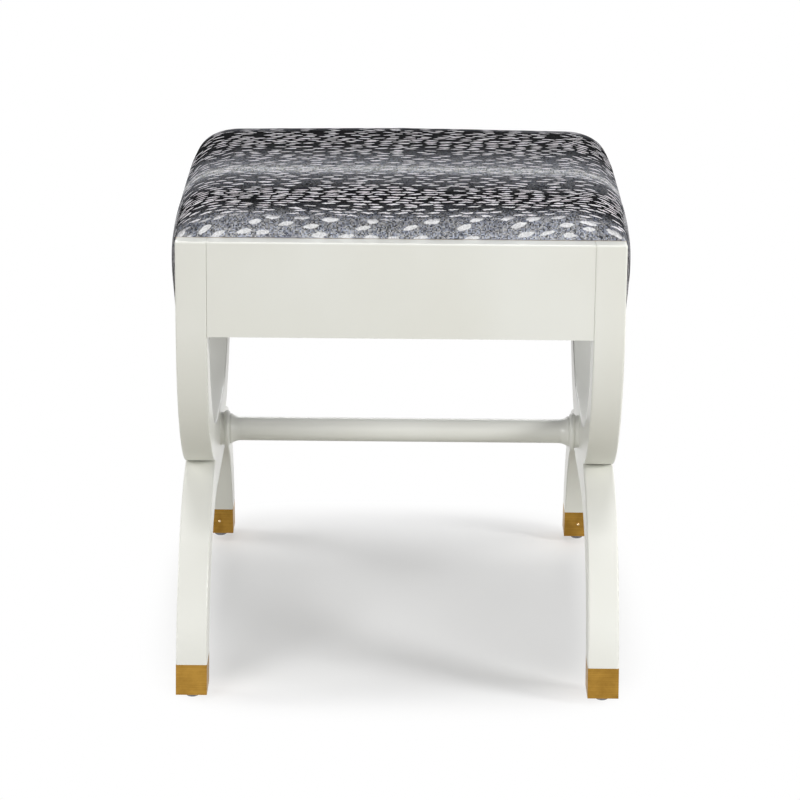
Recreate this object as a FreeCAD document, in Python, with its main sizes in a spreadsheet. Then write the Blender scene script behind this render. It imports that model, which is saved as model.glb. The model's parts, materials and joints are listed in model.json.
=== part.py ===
# Upholstered X-base ottoman: curved side frames, turned stretcher, show-wood aprons, padded seat.
# Millimetres. X is the width, Y the depth, Z up; the origin lies on the floor below the centre.
import FreeCAD, Part
import math
import os

import Sketcher

doc = FreeCAD.newDocument("ottoman")
sheet = doc.addObject("Spreadsheet::Sheet", "sizes")

driving_dimensions = {
    # side frames
    "frame_width": 456,         # over the outer faces of the two side frames
    "leg_width": 32,            # a curved member, across
    "leg_depth": 40,            # a curved member, in the plane of its curve
    "top_depth": 475,           # over the outer faces of the arms
    "rail_top": 475,            # floor to the top of the aprons and arms
    "waist_height": 204,        # floor to the glue joint between the two yokes
    "waist_depth": 205,         # from the front crease to the rear crease
    "upper_radius": 185,        # outer curve of the upper yoke
    "lower_radius": 217.5,      # outer curve of the lower yoke
    "foot_depth": 565,          # over the outer faces of the legs at the ferrule tops
    "foot_splay": 5,            # how far a foot runs out below its ferrule's top
    "edge_ease": 1.5,           # rounding of the long edges of the yokes
    # feet
    "ferrule_height": 31,
    "ferrule_wall": 1.2,
    "pin_height": 16,           # ferrule bottom to the pin
    "pin_shank": 1.6,
    "pin_length": 9,
    "pin_head": 3.6,
    "glide_height": 8,
    "glide_diameter": 16,
    "glide_rim": 4,             # upright rim above the rounded edge
    "nail_diameter": 3,
    "nail_length": 16,
    # aprons and side rails
    "apron_height": 99,
    "apron_thickness": 20,
    "apron_round": 2,           # rounding of the top outer edge of the aprons and arms
    "side_rail_thickness": 22,
    # stretcher
    "stretcher_height": 210,    # floor to its axis
    "shaft_diameter": 26,
    "tenon_diameter": 20,
    "tenon_length": 22,
    "flange_diameter": 36,
    "flange_width": 4,
    "bead_diameter": 40,
    "bead_width": 6,
    "fillet_diameter": 33,
    "fillet_width": 2,
    "cove_width": 10,
    # dowels
    "dowel_diameter": 10,
    "dowel_embed": 14,
    "waist_dowel_embed": 20,
    "waist_dowel_spacing": 124,
    "dowel_spacing": 50,
    "dowel_slack": 1,           # glue room at each end of a dowel
    "fit_clearance": 0.05,      # radial, round dowels, screws, nails and pins
    # corner blocks and screws
    "block_leg": 50,            # along the apron and along the side rail
    "block_height": 40,
    "screw_diameter": 4,
    "screw_head": 8,
    "screw_head_height": 3,
    "screw_grip": 14,           # wood between a screw's head and the joint
    "screw_bite": 13,           # screw in the far piece
    "deck_screw_grip": 22,
    "deck_screw_bite": 8,
    "counterbore": 9.5,
    # seat
    "deck_thickness": 12,
    "deck_clearance": 0.5,
    "cover_thickness": 2,
    "soft_clearance": 0.3,
    "dust_cover_thickness": 1,
    "dust_cover_lap": 16,       # how far the dust cover laps a side rail
    "seat_edge_height": 14,     # seat above the apron at its front and rear edges
    "seat_crown": 40,           # seat above the apron in the middle
    "seat_shoulder": 75,        # width of the rounded shoulder along the sides, half way along
    "seat_shoulder_end": 92,    # and at the front and rear edges
    "seat_side_fall": 2,        # how much lower the shoulders start than the crown
    "side_swell_end": 3,        # padding beyond the frame's outer face, beside the arms
    "side_swell_middle": 15.5,  # and half way along
    "side_lip": 2,              # padding beyond the frame at its lower edge and at the deck
}


class Size:
    """A length that carries its sheet expression along with its value."""

    def __init__(self, value, text):
        self.value = value
        self.text = text

    def __add__(self, other):
        other = as_size(other)
        return Size(self.value + other.value, f"({self.text} + {other.text})")

    def __sub__(self, other):
        other = as_size(other)
        return Size(self.value - other.value, f"({self.text} - {other.text})")

    def __mul__(self, other):
        other = as_size(other)
        return Size(self.value * other.value, f"({self.text} * {other.text})")

    def __truediv__(self, other):
        other = as_size(other)
        return Size(self.value / other.value, f"({self.text} / {other.text})")

    def __neg__(self):
        return Size(-self.value, f"(-1 * {self.text})")

    def root(self):
        return Size(math.sqrt(self.value), f"sqrt({self.text})")


def as_size(value):
    return value if isinstance(value, Size) else Size(float(value), str(float(value)))


def fill_sheet():
    """Writes each driving dimension to the sheet and returns them by name."""
    sizes = {}
    for row, (name, value) in enumerate(driving_dimensions.items(), start=1):
        sheet.set(f"A{row}", name)
        sheet.set(f"B{row}", str(value))
        sheet.setAlias(f"B{row}", name)
    doc.recompute()
    for name in driving_dimensions:
        sizes[name] = Size(float(sheet.get(name)), f"sizes.{name}")
    return sizes


S = fill_sheet()
zero = as_size(0)

# Heights and places that several pieces share
half_width = S["frame_width"] / 2
inner_face = half_width - S["leg_width"]
frame_centre = half_width - S["leg_width"] / 2
half_leg = S["leg_width"] / 2
half_top = S["top_depth"] / 2
arm_inside = half_top - S["leg_depth"]
apron_back = half_top - S["apron_thickness"]
apron_bottom = S["rail_top"] - S["apron_height"]
deck_bottom = S["rail_top"] - S["deck_thickness"]
notch = S["waist_depth"] / 2
ferrule_bottom = S["glide_height"]
shoulder = ferrule_bottom + S["ferrule_height"]
foot_outside = S["foot_depth"] / 2

# Upper yoke: the outer curve is tangent to the arm's upright face and runs to the crease
upper_inner_radius = S["upper_radius"] - S["leg_depth"]
upper_run = S["upper_radius"] - (half_top - notch)
upper_centre_y = half_top - S["upper_radius"]
upper_centre_z = S["waist_height"] + (S["upper_radius"] * S["upper_radius"] - upper_run * upper_run).root()
upper_seat = upper_centre_z - upper_inner_radius
upper_keel = upper_centre_z - S["upper_radius"]

# Lower yoke: the outer curve runs from the crease to the ferrule's top
lower_inner_radius = S["lower_radius"] - S["leg_depth"]
lower_run = foot_outside - notch
lower_drop = S["waist_height"] - shoulder
lower_chord = (lower_run * lower_run + lower_drop * lower_drop).root()
lower_sagitta = (S["lower_radius"] * S["lower_radius"] - lower_chord * lower_chord / 4).root()
lower_centre_y = (notch + foot_outside) / 2 - lower_sagitta * lower_drop / lower_chord
lower_centre_z = (S["waist_height"] + shoulder) / 2 - lower_sagitta * lower_run / lower_chord
lower_crown = lower_centre_z + lower_inner_radius
lower_ridge = lower_centre_z + S["lower_radius"]
shoulder_rise = shoulder - lower_centre_z
foot_inside = lower_centre_y + (lower_inner_radius * lower_inner_radius
                                - shoulder_rise * shoulder_rise).root()
foot_centre = (foot_outside + foot_inside) / 2 + S["foot_splay"]
pin_z = ferrule_bottom + S["pin_height"]


def foot_run(z):
    """How far the foot has run out at height z."""
    return S["foot_splay"] * (shoulder - z) / S["ferrule_height"]


def new_body(label):
    body = doc.addObject("PartDesign::Body", label)
    body.Label = label
    return body


def origin_plane(body, role):
    return [feature for feature in body.Origin.OriginFeatures if feature.Role == role][0]


def new_sketch(body, plane, offset=None):
    """A sketch on one of the body's own planes, moved along the plane's normal by offset."""
    sketch = body.newObject("Sketcher::SketchObject", "Sketch")
    sketch.AttachmentSupport = [(origin_plane(body, plane), "")]
    sketch.MapMode = "FlatFace"
    if offset is not None:
        sketch.AttachmentOffset = FreeCAD.Placement(FreeCAD.Vector(0, 0, offset.value), FreeCAD.Rotation())
        sketch.setExpression("AttachmentOffset.Base.z", offset.text)
    return sketch


def constrain(sketch, kind, size, *where):
    index = sketch.addConstraint(Sketcher.Constraint(kind, *where, size.value))
    sketch.setExpression(f"Constraints[{index}]", size.text)


def draw_outline(sketch, corners, arcs=None):
    """Closes an outline through corners; arcs maps a first corner's number to (centre, radius, turn)."""
    arcs = arcs or {}
    first = sketch.GeometryCount
    ends = []
    for number, (u, v) in enumerate(corners):
        next_u, next_v = corners[(number + 1) % len(corners)]
        if number in arcs:
            (centre_u, centre_v), radius, turn = arcs[number]
            centre = FreeCAD.Vector(centre_u.value, centre_v.value, 0)
            angles = [math.atan2(y.value - centre.y, x.value - centre.x)
                      for x, y in ((u, v), (next_u, next_v))]
            if turn < 0:
                angles.reverse()
            circle = Part.Circle(centre, FreeCAD.Vector(0, 0, 1), radius.value)
            edge = sketch.addGeometry(Part.ArcOfCircle(circle, *angles))
            ends.append((1, 2) if turn > 0 else (2, 1))
        else:
            start = FreeCAD.Vector(u.value, v.value, 0)
            finish = FreeCAD.Vector(next_u.value, next_v.value, 0)
            edge = sketch.addGeometry(Part.LineSegment(start, finish))
            ends.append((1, 2))
    for number, (u, v) in enumerate(corners):
        edge = first + number
        before = (number - 1) % len(corners)
        sketch.addConstraint(Sketcher.Constraint("Coincident", first + before, ends[before][1],
                                                 edge, ends[number][0]))
        constrain(sketch, "DistanceX", u, -1, 1, edge, ends[number][0])
        constrain(sketch, "DistanceY", v, -1, 1, edge, ends[number][0])
    for number, (centre, radius, turn) in arcs.items():
        constrain(sketch, "Radius", radius, first + number)


def draw_circles(sketch, centres, diameter):
    for u, v in centres:
        centre = FreeCAD.Vector(u.value, v.value, 0)
        circle = Part.Circle(centre, FreeCAD.Vector(0, 0, 1), diameter.value / 2)
        edge = sketch.addGeometry(circle)
        constrain(sketch, "DistanceX", u, -1, 1, edge, 3)
        constrain(sketch, "DistanceY", v, -1, 1, edge, 3)
        constrain(sketch, "Diameter", diameter, edge)


def extrude(body, kind, sketch, length, side="One side", reverse=False):
    feature = body.newObject(f"PartDesign::{kind}", kind)
    feature.Profile = sketch
    feature.SideType = side
    feature.Reversed = reverse
    feature.Length = length.value
    feature.setExpression("Length", length.text)
    doc.recompute()
    return feature


def pad(body, sketch, length, side="Symmetric"):
    return extrude(body, "Pad", sketch, length, side)


def bore(body, plane, offset, centres, diameter, depth, side="One side", reverse=False):
    """Drills round holes of one size, and makes sure that they took wood away."""
    before = body.Shape.Volume
    sketch = new_sketch(body, plane, offset)
    draw_circles(sketch, centres, diameter)
    extrude(body, "Pocket", sketch, depth, side, reverse)
    if body.Shape.Volume >= before:
        raise RuntimeError(f"{body.Label}: a bore cuts nothing")


def ease_edges(body, wanted):
    """Rounds the edges that wanted() picks."""
    base = body.Tip
    names = [f"Edge{i}" for i, edge in enumerate(base.Shape.Edges, start=1) if wanted(edge)]
    fillet = body.newObject("PartDesign::Fillet", "Fillet")
    fillet.Base = (base, names)
    fillet.Radius = S["edge_ease"].value
    fillet.setExpression("Radius", S["edge_ease"].text)
    doc.recompute()


def place(piece, x=zero, y=zero, z=zero, angle=0, axis=(0, 0, 1)):
    """Sets a piece down at x, y, z, turned about its own axis first."""
    base = FreeCAD.Vector(x.value, y.value, z.value)
    piece.Placement = FreeCAD.Placement(base, FreeCAD.Rotation(FreeCAD.Vector(*axis), angle))
    for name, size in (("x", x), ("y", y), ("z", z)):
        piece.setExpression(f"Placement.Base.{name}", size.text)


# The left pieces are made beside the origin, and the right ones are the same turned half round
sides = {"left": (-1, 0), "right": (1, 180)}
ends = {"front": -1, "rear": 1}
hole_diameter = S["dowel_diameter"] + S["fit_clearance"] * 2
apron_dowel_y = half_top - S["apron_thickness"] / 2
apron_dowel_z = (apron_bottom + S["rail_top"]) / 2
rail_middle_z = (apron_bottom + deck_bottom) / 2
rail_offset = (S["side_rail_thickness"] - S["leg_width"]) / 2
dowel_depth = S["dowel_embed"] + S["dowel_slack"]
half_spacing = S["dowel_spacing"] / 2
waist_dowels = [(zero, S["waist_dowel_spacing"] / -2), (zero, S["waist_dowel_spacing"] / 2)]
waist_dowel_depth = S["waist_dowel_embed"] + S["dowel_slack"]


def is_long_edge(edge):
    """True for the curved and upright edges that run along a yoke's two faces."""
    middle = edge.valueAt((edge.FirstParameter + edge.LastParameter) / 2)
    on_face = abs(abs(middle.x) - half_leg.value) < 0.01
    curved = isinstance(edge.Curve, Part.Circle)
    upright = abs(edge.Vertexes[0].Y - edge.Vertexes[-1].Y) < 0.01 and edge.Length > S["leg_depth"].value
    return on_face and (curved or upright)


def cut_joint(body, limit):
    """Cuts a yoke's curve off at the glue joint, from there to limit. The creases are where the cut ends."""
    wh = S["waist_height"]
    sketch = new_sketch(body, "YZ_Plane")
    draw_outline(sketch, [(-half_top, wh), (half_top, wh), (half_top, limit), (-half_top, limit)])
    extrude(body, "Pocket", sketch, S["leg_width"] * 2, "Symmetric")


def stretcher_bore(body):
    diameter = S["tenon_diameter"] + S["fit_clearance"] * 2
    depth = S["tenon_length"] + S["dowel_slack"]
    bore(body, "YZ_Plane", half_leg, [(zero, S["stretcher_height"])], diameter, depth)


def upper_yoke(side):
    """A U-shaped member: two arms and the bowed piece below them, rebated on top for the seat deck."""
    body = new_body(f"{side}_upper_yoke")
    top, step, edge = S["rail_top"], deck_bottom, S["apron_round"]
    half = [(upper_centre_y, upper_keel), (half_top, upper_centre_z), (half_top, top - edge),
            (half_top - edge, top), (apron_back, top), (apron_back, step), (arm_inside, step),
            (arm_inside, upper_centre_z), (upper_centre_y, upper_seat)]
    corners = half + [(-y, z) for y, z in reversed(half)]
    rear, front = (upper_centre_y, upper_centre_z), (-upper_centre_y, upper_centre_z)
    arcs = {0: (rear, S["upper_radius"], 1), 2: ((half_top - edge, top - edge), edge, 1),
            7: (rear, upper_inner_radius, -1), 9: (front, upper_inner_radius, -1),
            14: ((edge - half_top, top - edge), edge, 1), 16: (front, S["upper_radius"], 1)}
    sketch = new_sketch(body, "YZ_Plane")
    draw_outline(sketch, corners, arcs)
    pad(body, sketch, S["leg_width"])
    ease_edges(body, is_long_edge)
    cut_joint(body, upper_keel)
    apron_holes = [(y, apron_dowel_z + dz) for y in (-apron_dowel_y, apron_dowel_y)
                   for dz in (-half_spacing, half_spacing)]
    bore(body, "YZ_Plane", half_leg, apron_holes, hole_diameter, dowel_depth)
    rail_holes = [(rail_offset, rail_middle_z + dz) for dz in (-half_spacing, half_spacing)]
    bore(body, "XZ_Plane", None, rail_holes, hole_diameter, (arm_inside + dowel_depth) * 2, "Symmetric")
    bore(body, "XY_Plane", S["waist_height"], waist_dowels, hole_diameter, waist_dowel_depth, reverse=True)
    stretcher_bore(body)
    return body


def lower_yoke(side):
    """An arched member: two legs that end in tenons for the ferrules."""
    body = new_body(f"{side}_lower_yoke")
    corners = [(-lower_centre_y, lower_ridge), (lower_centre_y, lower_ridge), (foot_outside, shoulder),
               (foot_inside, shoulder), (lower_centre_y, lower_crown), (-lower_centre_y, lower_crown),
               (-foot_inside, shoulder), (-foot_outside, shoulder)]
    rear, front = (lower_centre_y, lower_centre_z), (-lower_centre_y, lower_centre_z)
    arcs = {1: (rear, S["lower_radius"], -1), 3: (rear, lower_inner_radius, 1),
            5: (front, lower_inner_radius, 1), 7: (front, S["lower_radius"], -1)}
    sketch = new_sketch(body, "YZ_Plane")
    draw_outline(sketch, corners, arcs)
    pad(body, sketch, S["leg_width"])
    ease_edges(body, is_long_edge)
    cut_joint(body, lower_ridge)
    sketch = new_sketch(body, "YZ_Plane")
    for end in ends.values():
        draw_outline(sketch, foot_outline(end, ferrule_bottom + S["ferrule_wall"], S["ferrule_wall"]))
    pad(body, sketch, S["leg_width"] - S["ferrule_wall"] * 2)
    bore(body, "XY_Plane", S["waist_height"], waist_dowels, hole_diameter, waist_dowel_depth)
    nails = [(zero, foot_centre * end) for end in ends.values()]
    bore(body, "XY_Plane", ferrule_bottom, nails, S["nail_diameter"] + S["fit_clearance"] * 2,
         S["nail_length"] + S["dowel_slack"], reverse=True)
    bore(body, "XZ_Plane", None, [(zero, pin_z)], S["pin_shank"] + S["fit_clearance"] * 2,
         (foot_inside + foot_run(pin_z) + S["pin_length"]) * 2, "Symmetric")
    stretcher_bore(body)
    return body


def foot_outline(end, bottom, inset):
    """Corners of a foot in side view, from the ferrule's top down to bottom, drawn in by inset."""
    out_top, in_top = foot_outside - inset, foot_inside + inset
    out_low, in_low = out_top + foot_run(bottom), in_top + foot_run(bottom)
    corners = [(out_top, shoulder), (out_low, bottom), (in_low, bottom), (in_top, shoulder)]
    return [(y * end, z) for y, z in corners]


def ferrule(side, end_name):
    """A brass cap over the foot's tenon, flush with the leg, with a nail hole and a pin hole."""
    end = ends[end_name] * sides[side][0] * -1
    body = new_body(f"{end_name}_{side}_ferrule")
    sketch = new_sketch(body, "YZ_Plane")
    draw_outline(sketch, foot_outline(end, ferrule_bottom, zero))
    pad(body, sketch, S["leg_width"])
    sketch = new_sketch(body, "YZ_Plane")
    draw_outline(sketch, foot_outline(end, ferrule_bottom + S["ferrule_wall"], S["ferrule_wall"]))
    extrude(body, "Pocket", sketch, S["leg_width"] - S["ferrule_wall"] * 2, "Symmetric")
    bore(body, "XY_Plane", ferrule_bottom, [(zero, foot_centre * end)],
         S["nail_diameter"] + S["fit_clearance"] * 2, S["ferrule_wall"], reverse=True)
    wall_outside = foot_inside + foot_run(pin_z)
    bore(body, "XZ_Plane", None, [(zero, pin_z)], S["pin_shank"] + S["fit_clearance"] * 2,
         (wall_outside + S["ferrule_wall"] * 2) * 2, "Symmetric")
    return body


def revolve(body, sketch, axis):
    feature = body.newObject("PartDesign::Revolution", "Revolution")
    feature.Profile = sketch
    feature.ReferenceAxis = (sketch, [axis])
    feature.Angle = 360
    doc.recompute()
    return feature


def glide(side, end_name):
    """A round-edged metal glide on a nail, driven through the ferrule's floor into the leg."""
    body = new_body(f"{end_name}_{side}_glide")
    radius, nail, top = S["glide_diameter"] / 2, S["nail_diameter"] / 2, S["glide_height"]
    edge_round = top - S["glide_rim"]
    flat = radius - edge_round
    corners = [(zero, zero), (flat, zero), (radius, edge_round), (radius, top), (nail, top),
               (nail, top + S["nail_length"]), (zero, top + S["nail_length"])]
    sketch = new_sketch(body, "XZ_Plane")
    draw_outline(sketch, corners, {1: ((flat, edge_round), edge_round, 1)})
    revolve(body, sketch, "V_Axis")
    return body


def stretcher():
    """A turned rail: tenon, flange, bead, fillet and cove at each end of a plain shaft."""
    body = new_body("stretcher")
    radius = {name: S[f"{name}_diameter"] / 2 for name in ("tenon", "flange", "bead", "fillet", "shaft")}
    flange_end = inner_face - S["flange_width"]
    bead_end = flange_end - S["bead_width"]
    fillet_end = bead_end - S["fillet_width"]
    cove_end = fillet_end - S["cove_width"]
    bead_rise = radius["bead"] - radius["flange"]
    half_bead = S["bead_width"] / 2
    bead_arc = (half_bead * half_bead + bead_rise * bead_rise) / (bead_rise * 2)
    bead_centre = radius["bead"] - bead_arc
    cove_fall = radius["fillet"] - radius["shaft"]
    cove_arc = (S["cove_width"] * S["cove_width"] + cove_fall * cove_fall) / (cove_fall * 2)
    tenon_end = inner_face + S["tenon_length"]
    half = [(tenon_end, zero), (tenon_end, radius["tenon"]), (inner_face, radius["tenon"]),
            (inner_face, radius["flange"]), (flange_end, radius["flange"]), (bead_end, radius["flange"]),
            (bead_end, radius["fillet"]), (fillet_end, radius["fillet"]), (cove_end, radius["shaft"])]
    corners = half + [(-x, r) for x, r in reversed(half)]
    last = len(corners) - 1
    bead_middle = flange_end - half_bead
    arcs = {4: ((bead_middle, bead_centre), bead_arc, 1),
            7: ((cove_end, radius["shaft"] + cove_arc), cove_arc, -1),
            last - 8: ((-cove_end, radius["shaft"] + cove_arc), cove_arc, -1),
            last - 5: ((-bead_middle, bead_centre), bead_arc, 1)}
    sketch = new_sketch(body, "XZ_Plane")
    draw_outline(sketch, corners, arcs)
    revolve(body, sketch, "H_Axis")
    place(body, z=S["stretcher_height"])
    return body


screw_y = apron_back - S["screw_grip"]
screw_hole = S["screw_diameter"] + S["fit_clearance"] * 2
block_z = deck_bottom - S["block_height"] / 2
block_screw_x = inner_face - S["block_leg"] / 2
rail_face = half_width - S["side_rail_thickness"]
block_screw_y = arm_inside - S["block_leg"] / 2
deck_screw_x = inner_face - S["block_leg"] / 4
deck_screw_y = arm_inside - S["screw_head"]


def apron(end_name):
    """A show-wood rail between two arms, flush with their faces."""
    body = new_body(f"{end_name}_apron")
    half = S["apron_thickness"] / 2
    corners = [(-half, apron_bottom), (half, apron_bottom), (half, S["rail_top"]),
               (-half + S["apron_round"], S["rail_top"]), (-half, S["rail_top"] - S["apron_round"])]
    centre = (-half + S["apron_round"], S["rail_top"] - S["apron_round"])
    sketch = new_sketch(body, "YZ_Plane")
    draw_outline(sketch, corners, {3: (centre, S["apron_round"], 1)})
    pad(body, sketch, inner_face * 2)
    holes = [(zero, apron_dowel_z + dz) for dz in (-half_spacing, half_spacing)]
    bore(body, "YZ_Plane", inner_face, holes, hole_diameter, dowel_depth)
    bore(body, "YZ_Plane", -inner_face, holes, hole_diameter, dowel_depth, reverse=True)
    pilots = [(block_screw_x * side, block_z) for side in (-1, 1)]
    bore(body, "XZ_Plane", -half, pilots, screw_hole, S["screw_bite"] + S["dowel_slack"], reverse=True)
    place(body, y=apron_dowel_y * ends[end_name], angle=0 if end_name == "front" else 180)
    return body


def side_rail(side):
    """A hidden rail between the front and rear arms, flush with their outer faces."""
    body = new_body(f"{side}_side_rail")
    half, low, high = S["side_rail_thickness"] / 2, apron_bottom, deck_bottom
    sketch = new_sketch(body, "XZ_Plane")
    draw_outline(sketch, [(-half, low), (half, low), (half, high), (-half, high)])
    pad(body, sketch, arm_inside * 2)
    holes = [(zero, rail_middle_z + dz) for dz in (-half_spacing, half_spacing)]
    bore(body, "XZ_Plane", arm_inside, holes, hole_diameter, dowel_depth)
    bore(body, "XZ_Plane", -arm_inside, holes, hole_diameter, dowel_depth, reverse=True)
    pilots = [(block_screw_y * end, block_z) for end in (-1, 1)]
    bore(body, "YZ_Plane", half, pilots, screw_hole, S["screw_bite"] + S["dowel_slack"])
    sign, angle = sides[side]
    place(body, x=(half_width - half) * sign, angle=angle)
    return body


def corner_block(side, end_name):
    """A glue block notched round an arm, screwed to the apron, the side rail and the deck."""
    body = new_body(f"{end_name}_{side}_corner_block")
    sx, sy = sides[side][0], ends[end_name]
    corners = [(inner_face - S["block_leg"], apron_back), (inner_face, apron_back), (inner_face, arm_inside),
               (rail_face, arm_inside), (rail_face, arm_inside - S["block_leg"])]
    sketch = new_sketch(body, "XY_Plane", block_z)
    draw_outline(sketch, [(x * sx, y * sy) for x, y in corners])
    pad(body, sketch, S["block_height"])
    through = S["block_leg"] + S["leg_depth"]
    up = [(deck_screw_x * sx, deck_screw_y * sy)]
    to_apron, to_rail = [(block_screw_x * sx, block_z)], [(block_screw_y * sy, block_z)]
    bore(body, "XY_Plane", deck_bottom, up, screw_hole, S["block_height"])
    bore(body, "XY_Plane", deck_bottom - S["deck_screw_grip"], up, S["counterbore"], S["block_height"])
    # The XZ plane's normal points to the front, so its offsets run against Y
    bore(body, "XZ_Plane", apron_back * -sy, to_apron, screw_hole, through, reverse=sy > 0)
    bore(body, "XZ_Plane", screw_y * -sy, to_apron, S["counterbore"], through, reverse=sy > 0)
    bore(body, "YZ_Plane", rail_face * sx, to_rail, screw_hole, through, reverse=sx < 0)
    rail_screw_x = rail_face - S["screw_grip"]
    bore(body, "YZ_Plane", rail_screw_x * sx, to_rail, S["counterbore"], through, reverse=sx < 0)
    return body


def cylinder(diameter, length):
    """A round rod that stands on its own origin along Z."""
    rod = doc.addObject("Part::Cylinder", "Rod")
    rod.setExpression("Radius", (diameter / 2).text)
    rod.setExpression("Height", length.text)
    return rod


def group(label, pieces):
    """Gathers separate solids of one kind under one name."""
    compound = doc.addObject("Part::Compound", label)
    compound.Label = label
    compound.Links = pieces
    return compound


along_x = {"angle": 90, "axis": (0, 1, 0)}
along_y = {"angle": -90, "axis": (1, 0, 0)}


def dowels():
    """The three sets of dowels: yoke to yoke, apron to arm, side rail to arm."""
    diameter, embed = S["dowel_diameter"], S["dowel_embed"]
    waist, apron_set, rail_set = [], [], []
    for sx in (-1, 1):
        for _, y in waist_dowels:
            rod = cylinder(diameter, S["waist_dowel_embed"] * 2)
            place(rod, frame_centre * sx, y, S["waist_height"] - S["waist_dowel_embed"])
            waist.append(rod)
        for sy in (-1, 1):
            for dz in (-half_spacing, half_spacing):
                rod = cylinder(diameter, embed * 2)
                place(rod, inner_face * sx - embed, apron_dowel_y * sy, apron_dowel_z + dz, **along_x)
                apron_set.append(rod)
                rod = cylinder(diameter, embed * 2)
                rail_x = (half_width - S["side_rail_thickness"] / 2) * sx
                place(rod, rail_x, arm_inside * sy - embed, rail_middle_z + dz, **along_y)
                rail_set.append(rod)
    sets = {"waist_dowels": waist, "apron_dowels": apron_set, "side_rail_dowels": rail_set}
    return [group(label, rods) for label, rods in sets.items()]


def screw(grip, bite):
    """A countersunk screw along Z, with its joint plane at zero and its head below."""
    length = grip + bite
    shank = cylinder(S["screw_diameter"], length)
    place(shank, z=-grip)
    head = doc.addObject("Part::Cone", "Head")
    head.setExpression("Radius1", (S["screw_head"] / 2).text)
    head.setExpression("Radius2", (S["screw_diameter"] / 2).text)
    head.setExpression("Height", S["screw_head_height"].text)
    place(head, z=-grip - S["screw_head_height"])
    whole = doc.addObject("Part::Fuse", "Screw")
    whole.Base, whole.Tool = shank, head
    return whole


def screws():
    """Corner block screws into the aprons and side rails, and deck screws up through the blocks."""
    block_set, deck_set = [], []
    for sx in (-1, 1):
        for sy in (-1, 1):
            into_apron = screw(S["screw_grip"], S["screw_bite"])
            place(into_apron, block_screw_x * sx, apron_back * sy, block_z, angle=-90 * sy, axis=(1, 0, 0))
            into_rail = screw(S["screw_grip"], S["screw_bite"])
            place(into_rail, rail_face * sx, block_screw_y * sy, block_z, angle=90 * sx, axis=(0, 1, 0))
            block_set += [into_apron, into_rail]
            into_deck = screw(S["deck_screw_grip"], S["deck_screw_bite"])
            place(into_deck, deck_screw_x * sx, deck_screw_y * sy, deck_bottom)
            deck_set.append(into_deck)
    return [group("corner_block_screws", block_set), group("deck_screws", deck_set)]


def ferrule_pins():
    """Round-headed pins through the inner face of each ferrule; a head's upper rim meets the leaning wall."""
    pins = []
    head_radius = S["pin_head"] / 2
    wall = foot_inside + foot_run(pin_z + head_radius)
    for sx in (-1, 1):
        for sy in (-1, 1):
            shank = cylinder(S["pin_shank"], S["pin_length"])
            head = doc.addObject("Part::Sphere", "Head")
            head.setExpression("Radius", head_radius.text)
            head.Angle1 = -90
            head.Angle2 = 0
            pin = doc.addObject("Part::Fuse", "Pin")
            pin.Base, pin.Tool = shank, head
            place(pin, frame_centre * sx, wall * sy, pin_z, angle=-90 * sy, axis=(1, 0, 0))
            pins.append(pin)
    return group("ferrule_pins", pins)


def seat_deck():
    """The plywood board that carries the padding, let in between the aprons."""
    body = new_body("seat_deck")
    x, y = half_width, apron_back - S["deck_clearance"]
    sketch = new_sketch(body, "XY_Plane", deck_bottom)
    draw_outline(sketch, [(-x, -y), (x, -y), (x, y), (-x, y)])
    pad(body, sketch, S["deck_thickness"], "One side")
    pilots = [(deck_screw_x * sx, deck_screw_y * sy) for sx in (-1, 1) for sy in (-1, 1)]
    depth = S["deck_screw_bite"] + S["dowel_slack"]
    bore(body, "XY_Plane", deck_bottom, pilots, screw_hole, depth, reverse=True)
    return body


def dust_cover():
    """The thin cloth that closes the seat from below, cut out round the four arms."""
    body = new_body("dust_cover")
    x, y = rail_face + S["dust_cover_lap"], apron_back - S["deck_clearance"]
    in_x, in_y = inner_face - S["deck_clearance"], arm_inside - S["deck_clearance"]
    corners = [(x, in_y), (in_x, in_y), (in_x, y)]
    outline = corners + [(-u, v) for u, v in reversed(corners)]
    outline += [(-u, -v) for u, v in corners] + [(u, -v) for u, v in reversed(corners)]
    sketch = new_sketch(body, "XY_Plane", apron_bottom - S["cover_thickness"] - S["dust_cover_thickness"])
    draw_outline(sketch, outline)
    pad(body, sketch, S["dust_cover_thickness"], "One side")
    return body


# The seat stays level over most of its depth and rounds down steeply at the front and rear
seat_stations = 6
crown_power = 5.8
crown_ease = 0.53
# A shoulder is a quarter of a superellipse of this power, drawn through this many steps
shoulder_power = 2.4
shoulder_steps = 6


def seat_section(y, height, swell, shoulder, inset):
    """The seat's outline across the width at depth y: flat bottom, swelling sides, round shoulders, crown."""
    side, turn_z = half_width.value - inset, S["rail_top"].value
    top, low = turn_z + height - inset, apron_bottom.value - S["cover_thickness"].value + inset
    lip_x = side + S["side_lip"].value
    crown_x = lip_x - shoulder
    crown_z = top - S["seat_side_fall"].value * height / S["seat_crown"].value
    middle_z = (low + turn_z) / 2

    def at(x, z):
        return FreeCAD.Vector(x, y, z)

    def shoulder_curve(sign):
        points = []
        for step in range(shoulder_steps + 1):
            angle = math.pi / 2 * step / shoulder_steps
            out, up = math.cos(angle) ** (2 / shoulder_power), math.sin(angle) ** (2 / shoulder_power)
            points.append(at(sign * (crown_x + shoulder * out), turn_z + (crown_z - turn_z) * up))
        curve = Part.BSplineCurve()
        curve.interpolate(points[::sign])
        return curve

    edges = [
        Part.LineSegment(at(-lip_x, low), at(lip_x, low)),
        Part.Arc(at(lip_x, low), at(side + swell, middle_z), at(lip_x, turn_z)),
        shoulder_curve(1),
        Part.Arc(at(crown_x, crown_z), at(0, top), at(-crown_x, crown_z)),
        shoulder_curve(-1),
        Part.Arc(at(-lip_x, turn_z), at(-side - swell, middle_z), at(-lip_x, low)),
    ]
    return Part.Wire([edge.toShape() for edge in edges])


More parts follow.
